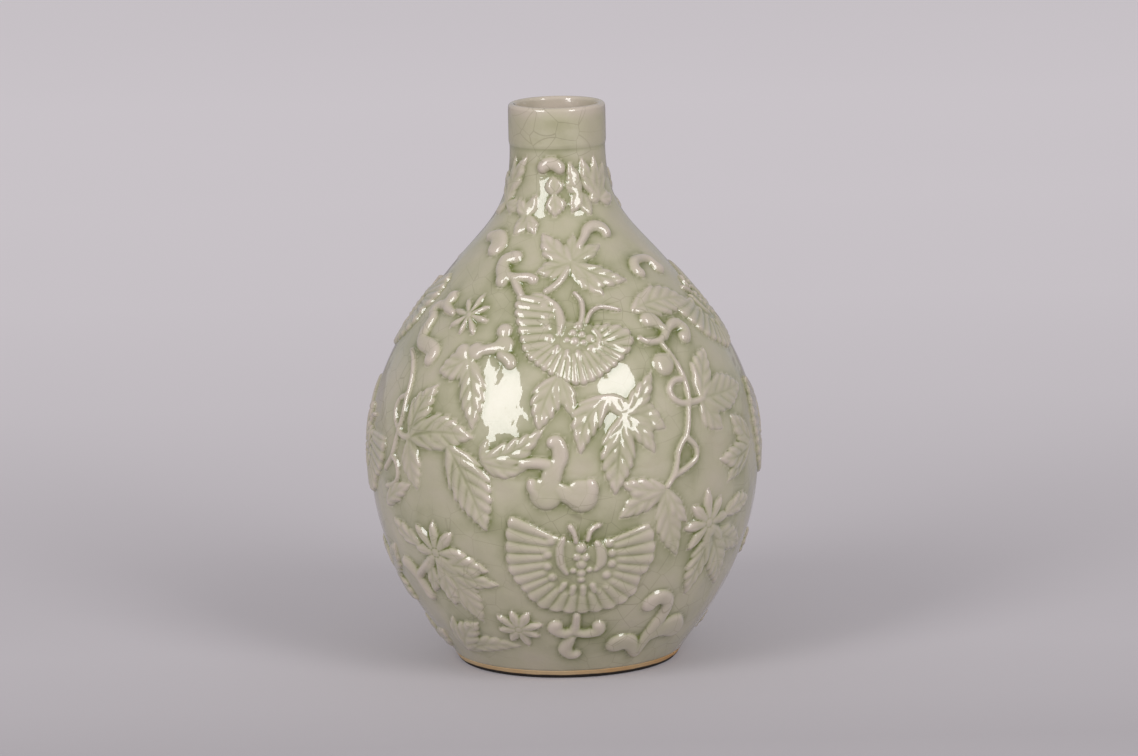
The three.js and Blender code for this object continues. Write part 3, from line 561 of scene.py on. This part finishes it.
def glazeMaterial():
    material, shader, feed, add = newMaterial("celadonGlaze")
    place = add("TexCoord", {}).outputs["Object"]
    pool = add("Attribute", {}, attribute_name="pool").outputs["Fac"]
    clouds = add("TexNoise", {"Vector": place, "Scale": glaze["mottleScale"], "Detail": 4})
    drift = add("Math", {0: clouds.outputs["Fac"], 1: -0.5}, operation="ADD")
    depth = add("Math", {0: drift.outputs[0], 1: glaze["mottle"], 2: pool}, operation="MULTIPLY_ADD")
    low, middle, high = glaze["pools"]
    share = add("MapRange", {"Value": depth.outputs[0], "From Min": low, "From Max": high})
    ramp = add("ValToRGB", {"Fac": share.outputs[0]})
    ramp.color_ramp.elements[0].color = shade(*glaze["thin"])
    ramp.color_ramp.elements[1].color = shade(*glaze["deep"])
    ramp.color_ramp.elements.new((middle - low) / (high - low)).color = shade(*glaze["ground"])
    cells = add("TexVoronoi", {"Vector": place, "Scale": glaze["crackleScale"]},
                feature="DISTANCE_TO_EDGE")
    crack = add("MapRange", {"Value": cells.outputs["Distance"], "From Max": glaze["crackleWidth"],
                             "To Min": glaze["crackleShade"], "To Max": 0})
    stretches = add("TexNoise", {"Vector": place, "Scale": glaze["crackledScale"]})
    crackled = add("MapRange", {"Value": stretches.outputs["Fac"], "From Min": glaze["crackledFrom"],
                                "From Max": glaze["crackledTo"]})
    seen = add("Math", {0: crack.outputs[0], 1: crackled.outputs[0]}, operation="MULTIPLY")
    colour = add("Mix", {"Factor": seen.outputs[0], "A": ramp.outputs["Color"],
                         "B": shade(*glaze["crackle"])}, data_type="RGBA")
    swell = add("TexNoise", {"Vector": place, "Scale": glaze["swellScale"], "Detail": 1})
    wide = add("Bump", {"Height": swell.outputs["Fac"], "Distance": glaze["swellDepth"], "Strength": 1})
    ripple = add("TexNoise", {"Vector": place, "Scale": glaze["rippleScale"], "Detail": 2})
    fine = add("Bump", {"Height": ripple.outputs["Fac"], "Distance": glaze["rippleDepth"],
                        "Strength": 1, "Normal": wide.outputs["Normal"]})
    feed(shader, {"Base Color": colour.outputs["Result"], "Roughness": glaze["roughness"],
                  "Specular IOR Level": glaze["specular"], "Coat Weight": 1,
                  "Coat Roughness": glaze["coatRoughness"], "Coat IOR": glaze["coatIor"],
                  "Normal": fine.outputs["Normal"], "Coat Normal": fine.outputs["Normal"]})
    return material


# The bare clay of the foot: buff, flashed orange, with a near-black band at the bottom edge where it
# stands
foot = {"buff": (186, 161, 124), "flash": (182, 142, 94), "flashScale": 30, "flashFrom": 0.42,
        "flashTo": 0.62, "iron": (30, 21, 13), "ironHeight": 1.8, "ironFade": (0.1, 0.45),
        "waver": 0.7, "waverScale": 140, "grainScale": 900, "grainDepth": 0.00015, "roughness": 0.85,
        "rim": 6.5, "bevel": 1.5, "height": 3.4, "lap": 0.25, "steps": 256,
        "innerEdge": [(0, 0.5), (0.4, 0.15), (0.9, 0.05)],
        "outerEdge": [(-1, 0.05), (-0.35, 0.2), (-0.05, 0.6)]}


def footMaterial():
    material, shader, feed, add = newMaterial("biscuitFoot")
    place = add("TexCoord", {}).outputs["Object"]
    flash = add("TexNoise", {"Vector": place, "Scale": foot["flashScale"], "Detail": 3})
    share = add("MapRange", {"Value": flash.outputs["Fac"], "From Min": foot["flashFrom"],
                             "From Max": foot["flashTo"]})
    clay = add("Mix", {"Factor": share.outputs[0], "A": shade(*foot["buff"]),
                       "B": shade(*foot["flash"])}, data_type="RGBA")
    # Near black from the bottom edge up to a wavering height, fading into the clay above
    edge = add("TexNoise", {"Vector": place, "Scale": foot["waverScale"], "Detail": 4})
    height = add("SeparateXYZ", {"Vector": place}).outputs["Z"]
    wavered = add("Math", {0: edge.outputs["Fac"], 1: foot["waver"] * mm, 2: height},
                  operation="MULTIPLY_ADD")
    ironEnd, clayStart = [(foot["ironHeight"] + fade) * mm for fade in foot["ironFade"]]
    dark = add("MapRange", {"Value": wavered.outputs[0], "From Min": ironEnd, "From Max": clayStart,
                            "To Min": 1, "To Max": 0})
    colour = add("Mix", {"Factor": dark.outputs[0], "A": clay.outputs["Result"],
                         "B": shade(*foot["iron"])}, data_type="RGBA")
    grain = add("TexNoise", {"Vector": place, "Scale": foot["grainScale"], "Detail": 3})
    bump = add("Bump", {"Height": grain.outputs["Fac"], "Distance": foot["grainDepth"], "Strength": 1})
    feed(shader, {"Base Color": colour.outputs["Result"], "Roughness": foot["roughness"],
                  "Normal": bump.outputs["Normal"]})
    return material


celadon = glazeMaterial()
biscuit = footMaterial()
print("glaze and clay made")


# A closed outline of radius and height in millimetres, spun round the axis
def spun(outline, steps):
    shape = bmesh.new()
    points = [shape.verts.new((radius * mm, 0, height * mm)) for radius, height in outline]
    edges = [shape.edges.new(pair) for pair in zip(points, points[1:])]
    if outline[0][0] > 0:
        edges.append(shape.edges.new((points[-1], points[0])))
    bmesh.ops.spin(shape, geom=points + edges, axis=(0, 0, 1), cent=(0, 0, 0), steps=steps,
                   angle=2 * math.pi, use_merge=True)
    bmesh.ops.remove_doubles(shape, verts=shape.verts, dist=1e-7)
    bmesh.ops.recalc_face_normals(shape, faces=shape.faces)
    return shape


# The collar: plain, a little proud of the neck, with a soft step under it and a rolled lip. The glaze
# gathers under it and runs thin at the lip, each between two heights.
collar = {"foot": 221.6, "proud": 0.4, "step": 2.6, "lip": 20.6, "lipRound": 1.6, "top": 239.95,
          "pool": 0.1, "gathered": 0.2, "gathers": (219.5, 221.8), "clears": (222.4, 225),
          "thins": (233.5, 239.5)}


# Up the outside, over the lip and down the inside. The rows on the collar carry the depth of the glaze.
def potOutline():
    rows = np.linspace(alongAt(foot["height"]), alongAt(collar["foot"]) - 1, wall["rows"])
    outline = [(0, foot["height"]), *zip(radiusAt(rows), np.interp(rows, wallAlong, wallHeight))]
    for share in np.linspace(0, 1, 7):
        outline.append((neckRadius + collar["proud"] * smooth(share, 0, 1),
                        collar["foot"] + collar["step"] * share))
    middle = (collar["lip"] - collar["lipRound"], collar["top"] - collar["lipRound"])
    for height in np.linspace(collar["foot"] + 3, middle[1] - 1.5, 11):
        outline.append((neckRadius + collar["proud"], height))
    for turn in np.linspace(0, math.pi, 21):
        outline.append((middle[0] + collar["lipRound"] * math.cos(turn),
                        middle[1] + collar["lipRound"] * math.sin(turn)))
    for height in np.linspace(middle[1] - 2, collar["foot"] + 1, 6):
        outline.append((neckRadius - wall["thickAtNeck"], height))
    down = np.linspace(wall["drawn"], alongAt(wall["floorTop"] + wall["floorRound"]), 16)
    belly = wall["knots"][1][1]
    thick = wall["thickAtBelly"] + (wall["thickAtNeck"] - wall["thickAtBelly"]) * smooth(
        down, alongAt(belly), wall["drawn"])
    inner = radiusAt(down) - thick * np.interp(down, wallAlong, wallOut)
    innerHeight = np.interp(down, wallAlong, wallHeight) - thick * np.interp(down, wallAlong, wallUp)
    return [*outline, *zip(inner, innerHeight), (inner[-1] - wall["floorRound"], wall["floorTop"]),
            (0, wall["floorTop"])]


# How deep the glaze lies on the pot: by the chart outside, and thin inside
def poolOnPot(places):
    azimuth = np.degrees(np.arctan2(places[:, 0], -places[:, 1]))
    height = places[:, 2]
    along = np.interp(height, wallHeight, wallAlong)
    outside = np.hypot(places[:, 0], places[:, 1]) > radiusAt(along) - 0.5
    pool = np.where(outside, readChart(hollows, azimuth, along), glaze["inside"])
    onCollar = outside & (height > collar["foot"] + 0.9)
    pool = np.where(onCollar, collar["pool"] - smooth(height, *collar["thins"]), pool)
    underCollar = smooth(height, *collar["gathers"]) - smooth(height, *collar["clears"])
    return pool + collar["gathered"] * underCollar


def makePot():
    mesh = meshFrom(spun(potOutline(), wall["steps"]), "pot")
    addPiece("pot", mesh, celadon, ["lower_body", "upper_body", "neck_collar"],
             poolOnPot(verticesOf(mesh) / mm))


def makeFoot():
    inner = footRadius - foot["rim"]
    top = foot["height"] + foot["lap"]
    outline = [(inner + out, height) for out, height in foot["innerEdge"]]
    outline += [(footRadius + out, height) for out, height in foot["outerEdge"]]
    for height in np.linspace(1.1, top, 7):
        outline.append((radiusAt(alongAt(height)) + 0.05, height))
    outline += [(footRadius - 2, top), (inner - foot["bevel"], top - 0.3)]
    addPiece("footRing", meshFrom(spun(outline, foot["steps"]), "footRing"), biscuit,
             ["foot_ring"])


makePot()
makeFoot()
print("pot thrown")

# Sprigs are pressed pads with a soft edge that dips just into the wall
pressing = {"cell": 0.5, "bare": -2, "cut": -0.3, "dip": 0.2, "under": -0.9, "soften": 7, "crisp": 3,
            "lowest": 6, "highest": 249.6}


# The flat sheet that a sprig is pressed from, about a centre on the wall
def sheetFor(pieces):
    places = np.vstack([piece["places"] for piece in pieces])
    centre = (places.min(axis=0) + places.max(axis=0)) / 2
    corners = []
    for piece in pieces:
        x, y = onSheet(centre, piece["places"][:, 0], piece["places"][:, 1])
        corners += [(x.min() - piece["margin"], y.min() - piece["margin"]),
                    (x.max() + piece["margin"], y.max() + piece["margin"])]
    low, high = np.min(corners, axis=0), np.max(corners, axis=0)
    low[1] = max(low[1], pressing["lowest"] - centre[1])
    high[1] = min(high[1], pressing["highest"] - centre[1])
    size, middle = (high - low) / 2, (high + low) / 2
    across, up = [round(2 * side / pressing["cell"]) for side in size]
    sheet = bmesh.new()
    bmesh.ops.create_grid(sheet, x_segments=across, y_segments=up, size=1,
                          matrix=Matrix.Translation((*middle, 0)) @ Matrix.Diagonal((*size, 1, 1)))
    return sheet, centre


def fromSheet(centre, flat):
    along = centre[1] + flat[:, 1]
    return centre[0] + np.degrees(flat[:, 0] / radiusAt(along)), along


def pressSheet(sheet, centre, pieces):
    azimuth, along = fromSheet(centre, np.array([point.co[:2] for point in sheet.verts]))
    height = np.full(len(along), float(pressing["bare"]))
    for piece in pieces:
        low, high = windowOf(piece)
        near = (azimuth > low[0]) & (azimuth < high[0]) & (along > low[1]) & (along < high[1])
        height[near] = np.maximum(height[near], piece["heightAt"](azimuth[near], along[near]))
    for point, rise in zip(sheet.verts, height):
        point.co.z = rise


def makeSprig(name, pieces):
    sheet, centre = sheetFor(pieces)
    pressSheet(sheet, centre, pieces)
    for _ in range(pressing["crisp" if name.startswith("butterfly") else "soften"]):
        bmesh.ops.smooth_vert(sheet, verts=sheet.verts, factor=0.5, use_axis_z=True)
    sunk = [face for face in sheet.faces if all(point.co.z < pressing["cut"] for point in face.verts)]
    bmesh.ops.delete(sheet, geom=sunk, context="FACES")
    for point in sheet.verts:
        point.co.z = max(point.co.z, pressing["cut"] - pressing["dip"])
    under = bmesh.ops.extrude_face_region(sheet, geom=sheet.faces, use_keep_orig=True)["geom"]
    for point in under:
        if isinstance(point, bmesh.types.BMVert):
            point.co.z = pressing["under"]
    bmesh.ops.recalc_face_normals(sheet, faces=sheet.faces)
    mesh = meshFrom(sheet, name)
    flat = verticesOf(mesh)
    azimuth, along = fromSheet(centre, flat)
    mesh.vertices.foreach_set("co", placeOnWall(azimuth, along, flat[:, 2]).ravel())
    pool = readChart(hollows, azimuth, along)
    # The same mould again on the other half
    back = mesh.copy()
    back.transform(Matrix.Rotation(math.pi, 4, "Z"))
    addPiece("sprig_" + name, mesh, celadon, [name], pool)
    addPiece("sprig_" + name + "_back", back, celadon, [name + "_back"], pool)
    return len(mesh.polygons)


faceCount = sum(makeSprig(name, pieces) for name, pieces in ornament.items())
print("sprigs pressed,", faceCount, "faces on each half")

# Pale paper on the floor. For the camera alone it is dimmed and glows by the metres that it lies back, or
# away from the vase beyond the near ones where that is more. The shadow on it stays.
paper = {"colour": (196, 191, 195), "grain": 3, "grainScale": 3, "roughness": 0.9, "specular": 0.1,
         "size": 5, "seen": (0.76, 0.76, 0.76, 1), "near": 0.5, "tint": (1, 0.945, 0.988),
         "glow": [(-0.16, 0), (-0.09, 0.044), (0.01, 0.09), (0.1, 0.1), (0.32, 0.158), (0.58, 0.237),
                  (0.89, 0.303), (1.27, 0.341), (1.73, 0.363), (2.2, 0.356)]}


def paperMaterial():
    material, shader, feed, add = newMaterial("paper")
    place = add("TexCoord", {}).outputs["Object"]
    grain = add("TexNoise", {"Vector": place, "Scale": paper["grainScale"]})
    darker = [channel - paper["grain"] for channel in paper["colour"]]
    tone = add("Mix", {"Factor": grain.outputs["Fac"], "A": shade(*paper["colour"]),
                       "B": shade(*darker)}, data_type="RGBA")
    seen = add("LightPath", {}).outputs["Is Camera Ray"]
    toned = add("Mix", {"Factor": seen, "A": tone.outputs["Result"], "B": paper["seen"]},
                data_type="RGBA", blend_type="MULTIPLY")
    back = add("SeparateXYZ", {"Vector": place}).outputs["Y"]
    away = add("VectorMath", {0: place}, operation="LENGTH").outputs["Value"]
    aside = add("Math", {0: away, 1: paper["near"]}, operation="SUBTRACT").outputs[0]
    far = add("Math", {0: back, 1: aside}, operation="MAXIMUM").outputs[0]
    front, rear = paper["glow"][0][0], paper["glow"][-1][0]
    share = add("MapRange", {"Value": far, "From Min": front, "From Max": rear})
    ramp = add("ValToRGB", {"Fac": share.outputs[0]})
    stops = ramp.color_ramp.elements
    for depth, strength in paper["glow"][1:-1]:
        stops.new((depth - front) / (rear - front))
    for stop, (depth, strength) in zip(stops, paper["glow"]):
        stop.color = (*[strength * channel for channel in paper["tint"]], 1)
    feed(shader, {"Base Color": toned.outputs["Result"], "Roughness": paper["roughness"],
                  "Specular IOR Level": paper["specular"], "Emission Color": ramp.outputs["Color"],
                  "Emission Strength": seen})
    return material


def makeFloor():
    shape = bmesh.new()
    bmesh.ops.create_grid(shape, x_segments=1, y_segments=1, size=paper["size"])
    floor = bpy.data.objects.new("floor", meshFrom(shape, "floor"))
    floor.data.materials.append(paperMaterial())
    scene.collection.objects.link(floor)


# Two tall soft boxes whose tops lean apart, at degrees to the left and the right of the front
boxes = {"azimuths": {"leftBox": -41, "rightBox": 38}, "elevation": 30, "distance": 1.6, "width": 0.5,
         "height": 1.1, "power": 13, "lean": 12, "aim": (0, 0, 0.1)}


def makeSoftBox(name, azimuth):
    light = bpy.data.lights.new(name, "AREA")
    light.shape = "RECTANGLE"
    light.size, light.size_y = boxes["width"], boxes["height"]
    light.energy = boxes["power"]
    lamp = bpy.data.objects.new(name, light)
    turn, rise = math.radians(azimuth), math.radians(boxes["elevation"])
    way = Vector((math.sin(turn) * math.cos(rise), -math.cos(turn) * math.cos(rise), math.sin(rise)))
    lamp.location = Vector(boxes["aim"]) + way * boxes["distance"]
    facing = (-way).to_track_quat("-Z", "Y").to_matrix()
    lean = Matrix.Rotation(math.radians(-math.copysign(boxes["lean"], azimuth)), 3, "Z")
    lamp.rotation_euler = (facing @ lean).to_euler()
    scene.collection.objects.link(lamp)


room = {"colour": (0.5, 0.485, 0.5, 1), "strength": 0.9}


def makeRoom():
    world = bpy.data.worlds.new("room")
    world.use_nodes = True
    background = world.node_tree.nodes["Background"]
    background.inputs["Color"].default_value = room["colour"]
    background.inputs["Strength"].default_value = room["strength"]
    scene.world = world


view = {"place": (0.0028, -2.5, 0.588), "pitch": 10.588, "roll": -1.24, "lens": 188, "sensor": 36}


def makeCamera():
    eye = bpy.data.cameras.new("camera")
    eye.lens, eye.sensor_width = view["lens"], view["sensor"]
    camera = bpy.data.objects.new("camera", eye)
    camera.location = view["place"]
    pitch = Matrix.Rotation(math.radians(90 - view["pitch"]), 3, "X")
    roll = Matrix.Rotation(math.radians(view["roll"]), 3, "Z")
    camera.rotation_euler = (pitch @ roll).to_euler()
    scene.collection.objects.link(camera)
    scene.camera = camera
    scene.view_settings.view_transform = "Standard"


makeFloor()
for name, azimuth in boxes["azimuths"].items():
    makeSoftBox(name, azimuth)
makeRoom()
makeCamera()
print("floor, lights and camera set")
